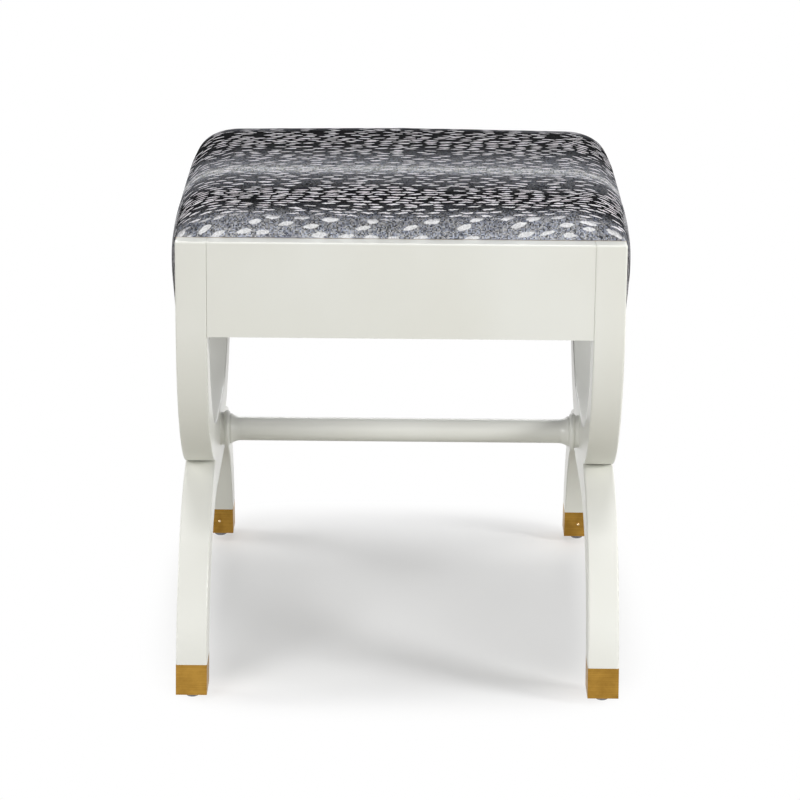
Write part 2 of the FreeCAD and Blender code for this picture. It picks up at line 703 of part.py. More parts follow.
def seat_envelope(inset):
    """The padded seat as one crowned body, drawn in by inset, without the corners that the arms fill."""
    reach = apron_back.value - S["deck_clearance"].value - inset
    edge, crown = S["seat_edge_height"].value, S["seat_crown"].value
    swell_end, swell_middle = S["side_swell_end"].value, S["side_swell_middle"].value
    narrow, wide = S["seat_shoulder"].value, S["seat_shoulder_end"].value
    wires = []
    for station in range(-seat_stations, seat_stations + 1):
        # Sections crowd towards the edges, where the crown falls away fastest
        along = math.sin(math.pi / 2 * station / seat_stations)
        height = edge + (crown - edge) * (1 - abs(along) ** crown_power) ** crown_ease
        beside_arm = min(1, reach * abs(along) / arm_inside.value)
        swell = swell_end + (swell_middle - swell_end) * (1 - beside_arm ** 2)
        shoulder = narrow + (wide - narrow) * along ** 4
        wires.append(seat_section(reach * along, height, swell, shoulder, inset))
    envelope = Part.makeLoft(wires, True, False)
    far = S["frame_width"].value
    arm_y = arm_inside.value - S["soft_clearance"].value
    arm_top = deck_bottom.value + S["soft_clearance"].value
    for y in (arm_y, -arm_y - far):
        envelope = envelope.cut(Part.makeBox(far * 2, far, arm_top, FreeCAD.Vector(-far, y, 0)))
    return envelope


def soft_piece(label, shape):
    piece = doc.addObject("Part::Feature", label)
    piece.Label = label
    piece.Shape = shape
    return piece


def seat_padding():
    """The fabric cover, turned under the side rails, with the foam and the side padding inside it."""
    cover_thickness, clearance = S["cover_thickness"].value, S["soft_clearance"].value
    far, top, low = S["frame_width"].value, S["rail_top"].value, apron_bottom.value
    outside = half_width.value + clearance
    hollow = seat_envelope(cover_thickness)
    under = Part.makeBox(rail_face.value * 2, far * 2, top, FreeCAD.Vector(-rail_face.value, -far, 0))
    block = Part.makeBox(outside * 2, far * 2, top + clearance - low, FreeCAD.Vector(-outside, -far, low))
    cover = seat_envelope(0).cut(hollow).cut(under).cut(block)
    filling = seat_envelope(cover_thickness + clearance)
    foam_room = Part.makeBox(far * 2, far * 2, far, FreeCAD.Vector(-far, -far, top + clearance))
    pieces = [soft_piece("seat_cover", cover), soft_piece("seat_foam", filling.common(foam_room))]
    rail_length = (arm_inside.value - clearance) * 2
    for side, (sx, _) in sides.items():
        corner = FreeCAD.Vector(outside if sx > 0 else -outside - far, -rail_length / 2, 0)
        room = Part.makeBox(far, rail_length, top, corner)
        pieces.append(soft_piece(f"{side}_side_padding", filling.common(room)))
    return pieces


pieces = [stretcher(), seat_deck(), dust_cover(), ferrule_pins()]
for side_name, (sign, turn) in sides.items():
    for yoke in (upper_yoke(side_name), lower_yoke(side_name)):
        place(yoke, x=frame_centre * sign, angle=turn)
        pieces.append(yoke)
    pieces.append(side_rail(side_name))
    for end_name, end_sign in ends.items():
        cap = ferrule(side_name, end_name)
        place(cap, x=frame_centre * sign, angle=turn)
        button = glide(side_name, end_name)
        place(button, frame_centre * sign, foot_centre * end_sign)
        pieces += [cap, button, corner_block(side_name, end_name)]
pieces += [apron(end_name) for end_name in ends]
pieces += dowels() + screws() + seat_padding()
doc.recompute()

for thing in doc.Objects:
    if "Invalid" in thing.State or "Error" in thing.State:
        raise RuntimeError(f"{thing.Label} failed: {thing.State}")
for piece in pieces:
    if piece.Shape.isNull() or not piece.Shape.isValid():
        raise RuntimeError(f"{piece.Label} has no valid shape")

os.makedirs("parts", exist_ok=True)
for piece in pieces:
    piece.Shape.exportStep(f"parts/{piece.Label}.step")
    print(piece.Label, len(piece.Shape.Solids), round(piece.Shape.Volume))
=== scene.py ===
# Looks of the X-base ottoman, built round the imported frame. Metres throughout.
import json
import math

import bpy
import numpy as np
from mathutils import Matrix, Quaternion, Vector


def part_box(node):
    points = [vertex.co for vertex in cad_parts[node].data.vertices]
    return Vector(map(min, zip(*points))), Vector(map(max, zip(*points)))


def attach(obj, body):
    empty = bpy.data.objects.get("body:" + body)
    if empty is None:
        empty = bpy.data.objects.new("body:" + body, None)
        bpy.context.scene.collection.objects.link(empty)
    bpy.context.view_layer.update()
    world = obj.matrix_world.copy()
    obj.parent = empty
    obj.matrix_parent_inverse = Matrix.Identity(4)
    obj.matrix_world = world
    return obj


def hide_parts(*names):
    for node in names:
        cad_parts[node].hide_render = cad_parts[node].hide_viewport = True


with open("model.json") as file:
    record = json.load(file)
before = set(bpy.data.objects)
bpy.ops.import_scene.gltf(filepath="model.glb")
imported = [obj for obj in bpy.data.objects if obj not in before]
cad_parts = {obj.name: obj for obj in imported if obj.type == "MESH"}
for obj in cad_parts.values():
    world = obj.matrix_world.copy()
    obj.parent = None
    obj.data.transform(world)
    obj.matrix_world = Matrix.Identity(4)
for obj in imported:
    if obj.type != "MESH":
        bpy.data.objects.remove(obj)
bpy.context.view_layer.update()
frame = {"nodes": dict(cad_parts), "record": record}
nodes = frame["nodes"]
scene = bpy.context.scene
scene.view_settings.view_transform = "Standard"
print("frame loaded:", len(nodes), "nodes")

# Faces of the frame that the soft pieces are set against
_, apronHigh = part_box("front_apron")
deckLow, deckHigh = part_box("seat_deck")
railLow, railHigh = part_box("right_side_rail")
coverLow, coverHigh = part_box("seat_cover")
dustLow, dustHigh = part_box("dust_cover")
edges = {
    "railTop": apronHigh.z,
    "deckBottom": deckLow.z,
    "deckReach": deckHigh.y,
    "frameSide": deckHigh.x,
    "railBottom": railLow.z,
    "railInside": railLow.x,
    "armInside": railHigh.y,
    "coverBottom": coverLow.z,
    "crownTop": coverHigh.z,
}


# Mesh helpers

def quadGrid(rows, cols):
    # Corner numbers of every cell of a rows x cols grid of points, as an array of quads
    index = np.arange(rows * cols).reshape(rows, cols)
    return np.stack([index[:-1, :-1], index[:-1, 1:], index[1:, 1:], index[1:, :-1]], -1).reshape(-1, 4)


def buildPiece(name, points, quads, material):
    mesh = bpy.data.meshes.new(name)
    mesh.from_pydata(points.reshape(-1, 3), [], quads)
    mesh.materials.append(material)
    mesh.polygons.foreach_set("use_smooth", np.ones(len(mesh.polygons), bool))
    mesh.update()
    piece = bpy.data.objects.new(name, mesh)
    scene.collection.objects.link(piece)
    return piece


def layMetres(mesh, metres):
    # Each point's place on the flat cloth, in metres, as a UV map
    layer = mesh.uv_layers.new(name="clothMetres")
    corners = np.empty(len(mesh.loops), np.int32)
    mesh.loops.foreach_get("vertex_index", corners)
    layer.data.foreach_set("uv", metres[corners].astype(np.float32).ravel())


def readPoints(mesh):
    points = np.empty(len(mesh.vertices) * 3, np.float32)
    mesh.vertices.foreach_get("co", points)
    return points.reshape(-1, 3).astype(float)


def writePoints(mesh, points):
    mesh.vertices.foreach_set("co", points.astype(np.float32).ravel())
    mesh.update()


def applyModifier(piece, kind, **settings):
    modifier = piece.modifiers.new(kind.title(), kind)
    for key, value in settings.items():
        setattr(modifier, key, value)
    bpy.context.view_layer.objects.active = piece
    bpy.ops.object.modifier_apply(modifier=modifier.name)


# Node helpers

def newMaterial(name):
    material = bpy.data.materials.new(name)
    material.use_nodes = True
    tree = material.node_tree
    return material, tree, tree.nodes["Principled BSDF"]


def feed(tree, socket, value):
    # A socket takes a link, a number or a colour
    if isinstance(value, bpy.types.NodeSocket):
        tree.links.new(value, socket)
    else:
        socket.default_value = value


def addNode(tree, kind, inputs=None, out=0, **settings):
    made = tree.nodes.new("ShaderNode" + kind)
    for key, value in settings.items():
        setattr(made, key, value)
    for key, value in (inputs or {}).items():
        feed(tree, made.inputs[key], value)
    return made.outputs[out]


def sums(tree, operation, *values):
    return addNode(tree, "Math", dict(enumerate(values)), operation=operation)


def placed(tree, scale=(1, 1, 1), turn=(0, 0, 0)):
    # Coordinates of the piece, in metres, stretched by scale
    coords = addNode(tree, "TexCoord", out="Object")
    return addNode(tree, "Mapping", {"Vector": coords, "Scale": scale, "Rotation": turn})


def noise(tree, vector, scale, detail=2.0, rough=0.5, distort=0.0):
    return addNode(tree, "TexNoise", {"Vector": vector, "Scale": scale, "Detail": detail,
                                      "Roughness": rough, "Distortion": distort})


def spread(tree, value, low, high, fromLow=0.0, fromHigh=1.0):
    return addNode(tree, "MapRange", {"Value": value, "From Min": fromLow, "From Max": fromHigh,
                                      "To Min": low, "To Max": high})


def step(tree, value, low, high):
    # 0 below low, 1 above high, smooth between
    return addNode(tree, "MapRange", {"Value": value, "From Min": low, "From Max": high},
                   interpolation_type="SMOOTHSTEP")


def straying(tree, value, most):
    # Noise, which runs about a half, as a move to either side
    return sums(tree, "MULTIPLY", sums(tree, "SUBTRACT", value, 0.5), most)


def blendColours(tree, factor, first, second, mode="MIX"):
    made = tree.nodes.new("ShaderNodeMix")
    made.data_type, made.blend_type = "RGBA", mode
    feed(tree, made.inputs["Factor"], factor)
    feed(tree, made.inputs[6], first)
    feed(tree, made.inputs[7], second)
    return made.outputs[2]


def colourRamp(tree, value, stops, smooth="EASE"):
    made = tree.nodes.new("ShaderNodeValToRGB")
    ramp = made.color_ramp
    ramp.interpolation = smooth
    for place, colour in stops[1:-1]:
        ramp.elements.new(place).color = colour
    for element, (place, colour) in zip((ramp.elements[0], ramp.elements[-1]), (stops[0], stops[-1])):
        element.position, element.color = place, colour
    feed(tree, made.inputs[0], value)
    return made.outputs[0]


def parted(tree, kind, value):
    # The three parts of a vector or a colour
    made = tree.nodes.new("ShaderNodeSeparate" + kind)
    tree.links.new(value, made.inputs[0])
    return made.outputs


def evenTone(tree, value):
    return addNode(tree, "CombineColor", {0: value, 1: value, 2: value})


def bump(tree, height, strength, distance):
    return addNode(tree, "Bump", {"Height": height, "Strength": strength, "Distance": distance})


def crossedWaves(tree, runs, pitch):
    # Over and under threads: a wave each way
    waves = [sums(tree, "SINE", sums(tree, "MULTIPLY", run, math.pi / pitch)) for run in runs]
    return sums(tree, "MULTIPLY", *waves)


def grey(level):
    return (level, level, level, 1.0)


# Finishes of the rigid pieces. Each bump is a strength and a depth.

lacquer = {
    "pale": (0.825, 0.830, 0.788, 1),
    "warm": (0.790, 0.790, 0.738, 1),
    "driftStretch": (1, 1, 0.6),
    "driftScale": 7.0,
    "driftEdge": (0.3, 0.7),
    "rough": (0.30, 0.42),
    "peelScale": 420.0,
    "peelBump": (0.06, 0.0006),
    "coat": 0.25,
    "coatRough": 0.22,
}


def whiteLacquer():
    # Sprayed satin lacquer: slow drift of tone, orange peel, a thin clear coat
    material, tree, shader = newMaterial("whiteLacquer")
    drift = noise(tree, placed(tree, lacquer["driftStretch"]), lacquer["driftScale"], detail=3.0)
    share = step(tree, drift, *lacquer["driftEdge"])
    feed(tree, shader.inputs["Base Color"], blendColours(tree, share, lacquer["pale"], lacquer["warm"]))
    feed(tree, shader.inputs["Roughness"], spread(tree, drift, *lacquer["rough"]))
    peel = noise(tree, placed(tree), lacquer["peelScale"])
    feed(tree, shader.inputs["Normal"], bump(tree, peel, *lacquer["peelBump"]))
    shader.inputs["Coat Weight"].default_value = lacquer["coat"]
    shader.inputs["Coat Roughness"].default_value = lacquer["coatRough"]
    return material


brass = {
    "bright": (0.42, 0.235, 0.045, 1),
    "dull": (0.27, 0.145, 0.026, 1),
    "rough": (0.30, 0.46),
    "roughFrom": (0.3, 0.7),
    "lineStretch": (18, 18, 1100),
    "lineShare": 0.45,              # tarnish follows the brush lines by this share, and patches by the rest
    "lineBump": (0.12, 0.0002),
    "patchScale": 55.0,
    "tarnishEdge": (0.34, 0.66),
}


def brushedBrass():
    # Fine level brush lines, with slow patches of tarnish
    material, tree, shader = newMaterial("brushedBrass")
    lines = noise(tree, placed(tree, brass["lineStretch"]), 1.0, detail=3.0, rough=0.6)
    patches = noise(tree, placed(tree), brass["patchScale"], detail=4.0, rough=0.6)
    patchTone = sums(tree, "MULTIPLY", patches, 1 - brass["lineShare"])
    tarnish = sums(tree, "MULTIPLY_ADD", lines, brass["lineShare"], patchTone)
    share = step(tree, tarnish, *brass["tarnishEdge"])
    feed(tree, shader.inputs["Base Color"], blendColours(tree, share, brass["bright"], brass["dull"]))
    rough = spread(tree, tarnish, *brass["rough"], *brass["roughFrom"])
    feed(tree, shader.inputs["Roughness"], rough)
    feed(tree, shader.inputs["Normal"], bump(tree, lines, *brass["lineBump"]))
    shader.inputs["Metallic"].default_value = 1.0
    return material


plating = {
    "cloudScale": 240.0,
    "cloudEdge": (0.35, 0.7),
    "scratchStretch": (2600, 300, 300),
    "scratchTurn": (0.3, 0.5, 0.7),
    "scratchBump": (0.05, 0.0001),
    "roughRange": (-0.06, 0.10),    # about the metal's own roughness
}


def plainMetal(name, bright, dull, rough):
    # Plated metal: faint cloudy patches and fine scratches
    material, tree, shader = newMaterial(name)
    clouds = noise(tree, placed(tree), plating["cloudScale"], detail=4.0, rough=0.65)
    scratches = noise(tree, placed(tree, plating["scratchStretch"], plating["scratchTurn"]), 1.0)
    share = step(tree, clouds, *plating["cloudEdge"])
    feed(tree, shader.inputs["Base Color"], blendColours(tree, share, bright, dull))
    smoothest, roughest = plating["roughRange"]
    feed(tree, shader.inputs["Roughness"], spread(tree, scratches, rough + smoothest, rough + roughest))
    feed(tree, shader.inputs["Normal"], bump(tree, scratches, *plating["scratchBump"]))
    shader.inputs["Metallic"].default_value = 1.0
    return material


timber = {
    "across": 60.0,                 # marks to the metre, across the grain and along it
    "along": 4.0,
    "poresFiner": 14,               # pores are this much finer than the figure
    "poreShare": 0.25,
    "poreBump": (0.15, 0.0003),
    "toneEdge": (0.35, 0.68),
    "rough": 0.72,
}


def bareWood(name, pale, dark, along):
    # Long grain along one axis: stretched noise for figure, finer noise for pores
    material, tree, shader = newMaterial(name)
    stretch = [timber["along"] if axis == along else timber["across"] for axis in "xyz"]
    figure = noise(tree, placed(tree, stretch), 1.0, detail=5.0, rough=0.6, distort=0.8)
    pores = noise(tree, placed(tree, [scale * timber["poresFiner"] for scale in stretch]), 1.0)
    figureTone = sums(tree, "MULTIPLY", figure, 1 - timber["poreShare"])
    tone = sums(tree, "MULTIPLY_ADD", pores, timber["poreShare"], figureTone)
    share = step(tree, tone, *timber["toneEdge"])
    feed(tree, shader.inputs["Base Color"], blendColours(tree, share, pale, dark))
    feed(tree, shader.inputs["Normal"], bump(tree, pores, *timber["poreBump"]))
    shader.inputs["Roughness"].default_value = timber["rough"]
    return material


finishes = {
    "whiteLacquer": whiteLacquer(),
    "brushedBrass": brushedBrass(),
    "dullNickel": plainMetal("dullNickel", (0.24, 0.24, 0.25, 1), (0.13, 0.13, 0.14, 1), 0.24),
    # The pins are the ferrules' brass, given a paler colour as a painted highlight on their heads
    "pinBrassPaintedHighlight": plainMetal("pinBrassPaintedHighlight", (0.82, 0.66, 0.40, 1), (0.62, 0.46, 0.24, 1), 0.26),
    "screwSteel": plainMetal("screwSteel", (0.58, 0.57, 0.54, 1), (0.40, 0.39, 0.37, 1), 0.38),
    "beechAcross": bareWood("beechAcross", (0.66, 0.50, 0.33, 1), (0.50, 0.35, 0.21, 1), "y"),
    "plyBoard": bareWood("plyBoard", (0.70, 0.56, 0.38, 1), (0.55, 0.41, 0.25, 1), "x"),
}
finishOfSlot = {
    "white_lacquer": "whiteLacquer",
    "brass": "brushedBrass",
    "nickel": "dullNickel",
    "screw_steel": "screwSteel",
    "raw_wood": "beechAcross",
    "plywood": "plyBoard",
}
# The ferrule pins take the paler brass that carries their painted highlight
finishOfNode = {"ferrule_pins": "pinBrassPaintedHighlight"}
for subpart in frame["record"]["subparts"]:
    finish = finishOfNode.get(subpart["node"], finishOfSlot.get(subpart["material_slot"]))
    if finish:
        mesh = nodes[subpart["node"]].data
        mesh.materials.clear()
        mesh.materials.append(finishes[finish])
print("rigid finishes set:", sorted(finishes))


# Printed seat cloth

cloth = {
    "thread": 0.0013,               # pitch of the weave
    "slub": (850, 45),              # slubs to the metre, across the threads and along them
    "warpShare": 0.55,              # share of the slubs that run from front to rear
    "weaveBump": (0.35, 0.0005),
    "span": 0.27,                   # the bands run over plus and minus this depth
    "wander": 0.010,                # how far the bands stray
    "wanderScale": 9.0,
    "fray": 0.0042,                 # how far the edges of the spots stray
    "frayScale": 190.0,
    "clouds": 0.55,                 # strength of the dark clouds in the ground
    "cloudScale": 75.0,
    "cloudEdge": (0.50, 0.72),
    "cloudTint": (0.40, 0.41, 0.48, 1),
    "groundTone": (0.15, 1.85),     # least and most tone of the threads in the ground
    "groundFrom": (0.22, 0.78),
    "spotTone": (0.82, 1.14),       # and in the spots
    "spotFrom": (0.25, 0.75),
    "yarnEdge": (0.50, 0.60),       # yarns below this chance are grey and above it blue
    "greyYarn": (1.00, 1.00, 1.02, 1),
    "blueYarn": (0.89, 0.95, 1.14, 1),
    "stripe": -0.072,               # depth of the pale stripe, which is warmer than the rest
    "stripeFade": (0.004, 0.030),
    "stripeTint": (1.0, 0.99, 0.92, 1),
    "dash": (0.73, 0.715, 0.745, 1),
    "dashWarm": (0.65, 0.615, 0.645, 1),
    "dashEdge": (0.35, 0.95),       # chance over which the dashes turn warm
    "dashGrowth": (0.84, 0.99),     # size of the dashes where few are printed, and where all are
    "dashGrowthFrom": (0.45, 1.0),
    "leaf": (0.75, 0.75, 0.77, 1),
    "leafShare": 0.7,               # share of the leaves that are printed
    "leafMiddle": -0.02,            # leaves take over from dashes at these distances from this depth
    "leafFrom": (0.196, 0.203),
    "rough": 0.9,
    "sheen": 0.01,
    "sheenRough": 0.5,
}
# Short dashes over the middle, larger slanted leaves near the front and rear edges. Lengths are in metres,
# widths in shares of a row, leans in rows to the metre.
dashes = {"pitch": (0.0165, 0.0092), "crowdFrom": -0.140, "crowd": 248.0, "seed": 3.0,
          "length": (0.0058, 0.0086), "width": (0.18, 0.29), "lean": (-24.0, 24.0)}
leaves = {"pitch": (0.0260, 0.0090), "crowdFrom": -1.0, "crowd": 0.0, "seed": 11.0,
          "length": (0.0062, 0.0088), "width": (0.24, 0.36), "lean": (4.0, 28.0)}
spotForm = {
    "crowdPower": 1.5,
    "strayAcross": (0.28, 0.72),    # place of the spot in its cell
    "strayAlong": (0.33, 0.67),
    "endPower": 1.6,
    "sidePower": 1.8,
    "edge": (0.80, 1.15),
}
# Ground tone by depth, from the front edge to the rear
clothBands = [
    (-0.255, 0.42), (-0.235, 0.31), (-0.205, 0.045), (-0.190, 0.012), (-0.168, 0.010), (-0.135, 0.084),
    (-0.105, 0.105), (-0.072, 0.43), (-0.055, 0.185), (0.000, 0.078), (0.048, 0.016), (0.130, 0.009),
    (0.260, 0.33),
]
# Share of the dashes that are printed, by depth
dashShare = [
    (-0.220, 0.55), (-0.190, 0.98), (-0.168, 0.98), (-0.140, 0.68), (-0.080, 0.58), (0.000, 0.66),
    (0.075, 0.93), (0.120, 0.68), (0.180, 0.55),
]


def stretchedCloth(tree, uv, across, along):
    return addNode(tree, "Mapping", {"Vector": uv, "Scale": (across, along, 1)})


def byDepth(tree, bandPlace, stops):
    # A level that is set at a few depths and runs straight between them
    span = cloth["span"]
    place = spread(tree, bandPlace, 0.0, 1.0, -span, span)
    places = [((depth + span) / (2 * span), grey(level)) for depth, level in stops]
    return colourRamp(tree, place, places, "LINEAR")


def spotLayer(tree, across, along, spot, grown=1.0):
    # One spot to a cell. Rows crowd towards the front: row = along / pitch - crowd d^crowdPower, where d is
    # the distance in front of crowdFrom. Each spot is moved, turned and sized by chance, and its edge is
    # |a|^endPower + |b|^sidePower = 1, pointed at the ends, in shares of its half length and half width.
    ahead = sums(tree, "MAXIMUM", sums(tree, "SUBTRACT", spot["crowdFrom"], along), 0.0)
    crowd = sums(tree, "MULTIPLY", sums(tree, "POWER", ahead, spotForm["crowdPower"]), spot["crowd"])
    rowPlace = sums(tree, "SUBTRACT", sums(tree, "DIVIDE", along, spot["pitch"][1]), crowd)
    row = sums(tree, "FLOOR", rowPlace)
    rowKey = sums(tree, "ADD", row, spot["seed"])
    shift = addNode(tree, "TexWhiteNoise", {"W": rowKey}, noise_dimensions="1D")
    cellPlace = sums(tree, "ADD", sums(tree, "DIVIDE", across, spot["pitch"][0]), shift)
    cell = sums(tree, "FLOOR", cellPlace)
    key = addNode(tree, "CombineXYZ", {0: cell, 1: row, 2: spot["seed"]})
    chance = addNode(tree, "TexWhiteNoise", {"Vector": key}, out="Color", noise_dimensions="3D")
    moveX, moveY, other = parted(tree, "Color", chance)
    middleX = spread(tree, moveX, *spotForm["strayAcross"])
    middleY = spread(tree, moveY, *spotForm["strayAlong"])
    u = sums(tree, "SUBTRACT", sums(tree, "FRACT", cellPlace), middleX)
    u = sums(tree, "MULTIPLY", u, spot["pitch"][0])
    v = sums(tree, "SUBTRACT", sums(tree, "FRACT", rowPlace), middleY)
    v = sums(tree, "SUBTRACT", v, sums(tree, "MULTIPLY", u, spread(tree, moveY, *spot["lean"])))
    a = sums(tree, "DIVIDE", u, sums(tree, "MULTIPLY", spread(tree, moveX, *spot["length"]), grown))
    b = sums(tree, "DIVIDE", v, sums(tree, "MULTIPLY", spread(tree, other, *spot["width"]), grown))
    edge = sums(tree, "ADD", sums(tree, "POWER", sums(tree, "ABSOLUTE", a), spotForm["endPower"]),
                sums(tree, "POWER", sums(tree, "ABSOLUTE", b), spotForm["sidePower"]))
    inside = sums(tree, "SUBTRACT", 1.0, step(tree, edge, *spotForm["edge"]))
    # Turns by which spots are left out: first every second one, by chance among these, then the rest
    second = sums(tree, "FLOORED_MODULO", sums(tree, "ADD", cell, row), 2.0)
    return inside, sums(tree, "MULTIPLY_ADD", second, 0.5, sums(tree, "MULTIPLY", other, 0.5))


def clothThreads(tree, uv, runs):
    # One random tone and yarn for each crossing of threads, with long slubs both ways
    counts = [sums(tree, "FLOOR", sums(tree, "DIVIDE", run, cloth["thread"])) for run in runs]
    crossing = addNode(tree, "CombineXYZ", dict(enumerate(counts)))
    chance = addNode(tree, "TexWhiteNoise", {"Vector": crossing}, out="Color", noise_dimensions="2D")
    yarnTone, yarnPick, _ = parted(tree, "Color", chance)
    fine, lengthwise = cloth["slub"]
    warp = sums(tree, "MULTIPLY", noise(tree, stretchedCloth(tree, uv, fine, lengthwise), 1.0),
                cloth["warpShare"])
    weft = sums(tree, "MULTIPLY", noise(tree, stretchedCloth(tree, uv, lengthwise, fine), 1.0),
                1 - cloth["warpShare"])
    slub = sums(tree, "ADD", warp, weft)
    return sums(tree, "MULTIPLY_ADD", yarnTone, 0.5, sums(tree, "MULTIPLY", slub, 0.5)), yarnPick


def clothGround(tree, uv, bandPlace, thread, yarnPick):
    # Bands with faint darker clouds, tinted by the threads, and warmer at the stripe
    clouds = noise(tree, stretchedCloth(tree, uv, 1, 1.3), cloth["cloudScale"], detail=3.0)
    cloudShare = sums(tree, "MULTIPLY", step(tree, clouds, *cloth["cloudEdge"]), cloth["clouds"])
    bands = byDepth(tree, bandPlace, clothBands)
    ground = blendColours(tree, cloudShare, bands, cloth["cloudTint"], "MULTIPLY")
    tone = evenTone(tree, spread(tree, thread, *cloth["groundTone"], *cloth["groundFrom"]))
    yarnShare = step(tree, yarnPick, *cloth["yarnEdge"])
    yarn = blendColours(tree, yarnShare, cloth["greyYarn"], cloth["blueYarn"])
    for tint in (tone, yarn):
        ground = blendColours(tree, 1.0, ground, tint, "MULTIPLY")
    offStripe = sums(tree, "ABSOLUTE", sums(tree, "SUBTRACT", bandPlace, cloth["stripe"]))
    onStripe = sums(tree, "SUBTRACT", 1.0, step(tree, offStripe, *cloth["stripeFade"]))
    return blendColours(tree, onStripe, ground, cloth["stripeTint"], "MULTIPLY")


def clothSpots(tree, uv, runs, bandPlace, thread):
    # Where a spot is printed, and its colour. The print's edges are ragged by a millimetre or two.
    fray = straying(tree, noise(tree, uv, cloth["frayScale"], detail=3.0, rough=0.6), cloth["fray"])
    frayed = [sums(tree, "ADD", run, fray) for run in runs]
    fromMiddle = sums(tree, "ABSOLUTE", sums(tree, "SUBTRACT", bandPlace, cloth["leafMiddle"]))
    border = step(tree, fromMiddle, *cloth["leafFrom"])
    share = byDepth(tree, bandPlace, dashShare)
    grown = spread(tree, share, *cloth["dashGrowth"], *cloth["dashGrowthFrom"])
    dash, dashChance = spotLayer(tree, *frayed, dashes, grown)
    leaf, leafChance = spotLayer(tree, *frayed, leaves)
    dash = sums(tree, "MULTIPLY", dash, sums(tree, "LESS_THAN", dashChance, share))
    leaf = sums(tree, "MULTIPLY", leaf, sums(tree, "LESS_THAN", leafChance, cloth["leafShare"]))
    mask = sums(tree, "MAXIMUM", sums(tree, "MULTIPLY", dash, sums(tree, "SUBTRACT", 1.0, border)),
                sums(tree, "MULTIPLY", leaf, border))
    warmShare = step(tree, dashChance, *cloth["dashEdge"])
    pale = blendColours(tree, warmShare, cloth["dash"], cloth["dashWarm"])
    pale = blendColours(tree, border, pale, cloth["leaf"])
    tone = evenTone(tree, spread(tree, thread, *cloth["spotTone"], *cloth["spotFrom"]))
    return mask, blendColours(tree, 1.0, pale, tone, "MULTIPLY")


def printedCloth():
    # Slubby plain weave with banded ground and rows of pale spots. The UV map is in metres of cloth.
    material, tree, shader = newMaterial("printedCloth")
    uv = addNode(tree, "UVMap", uv_map="clothMetres")
    across, along, _ = parted(tree, "XYZ", uv)
    runs = (across, along)
    wander = noise(tree, stretchedCloth(tree, uv, 1, 1.6), cloth["wanderScale"], detail=3.0)
    bandPlace = sums(tree, "ADD", along, straying(tree, wander, cloth["wander"]))
    thread, yarnPick = clothThreads(tree, uv, runs)
    ground = clothGround(tree, uv, bandPlace, thread, yarnPick)
    mask, pale = clothSpots(tree, uv, runs, bandPlace, thread)
    feed(tree, shader.inputs["Base Color"], blendColours(tree, mask, ground, pale))
    weave = sums(tree, "MULTIPLY_ADD", crossedWaves(tree, runs, cloth["thread"]), 0.5, thread)
    feed(tree, shader.inputs["Normal"], bump(tree, weave, *cloth["weaveBump"]))
    shader.inputs["Roughness"].default_value = cloth["rough"]
    shader.inputs["Sheen Weight"].default_value = cloth["sheen"]
    shader.inputs["Sheen Roughness"].default_value = cloth["sheenRough"]
    shader.inputs["Specular IOR Level"].default_value = 0.0
    return material


finishes["printedCloth"] = printedCloth()


# Padded seat: one body that lies on the deck and hangs over both side rails

seat = {
    "clear": 0.0004,                # gap to the frame
    "hem": 0.0010,                  # front and rear hems above the deck
    "edgeRise": 0.0139,             # front and rear edges above the aprons
    "crownPower": 7.0,              # how level the crown stays, and how steeply it falls at the ends
    "crownEase": 0.53,
    "sideFall": 0.002,              # the crown is this much lower where the shoulders start
    "shoulder": (0.033, 0.074),     # width of the rounded shoulders, half way along and at the ends
    "shoulderPower": 2.2,           # 2 is an ellipse, more is squarer
    "swell": (0.0160, 0.0030),      # sides beyond the frame, half way along and beside the arms
    "lip": 0.0018,                  # sides beyond the frame at their lower edge and at the deck
    "crownCells": 56,               # cells across the crown, each shoulder, the deck and each hanging side
    "edgeCells": 15,
    "deckCells": 3,
    "hangCells": 20,
    "armCells": 72,                 # cells along the depth between the arms, and at each end
    "endCells": 12,
    "fineSteps": 200,               # points of the fine lines that the cells are spaced along
    "pressure": 0.6,                # pressure, length and quality of the simulation
    "frames": 20,
    "quality": 6,
    "stiffness": {"tension": 25, "compression": 25, "shear": 10, "bending": 2},
    "cap": 0.0022,                  # the furthest that a point may move in it
}


def crownHeight(t):
    # Height above the aprons at depth share t: level in the middle, falling steeply at both ends,
    # edge + (crown - edge) (1 - |t|^power)^ease
    crown = edges["crownTop"] - edges["railTop"]
    fall = np.clip(1 - np.abs(t) ** seat["crownPower"], 0, 1) ** seat["crownEase"]
    return seat["edgeRise"] + (crown - seat["edgeRise"]) * fall


def evenly(count, *coords):
    # Points at equal steps of length along a finely drawn line
    run = np.concatenate([[0], np.cumsum(np.sqrt(sum(np.diff(c) ** 2 for c in coords)))])
    places = np.linspace(0, run[-1], count + 1)
    return [np.interp(places, run, c) for c in coords]


def depthProfile():
    # Depth and height of the crown from front to rear: its fall, then straight down behind the aprons
    reach, arm, fine = edges["deckReach"], edges["armInside"] - seat["clear"], seat["fineSteps"]
    inner = np.linspace(0, arm, fine)
    tail = np.append(arm + (reach - arm) * np.sin(np.linspace(0, math.pi / 2, 2 * fine)), reach)
    tailHeight = np.append(crownHeight(tail[:-1] / reach), seat["hem"])
    yIn, hIn = evenly(seat["armCells"] // 2, inner, crownHeight(inner / reach))
    yOut, hOut = evenly(seat["endCells"], tail, tailHeight)
    y, h = np.append(yIn, yOut[1:]), np.append(hIn, hOut[1:])
    return np.append(-y[:0:-1], y), np.append(h[:0:-1], h)


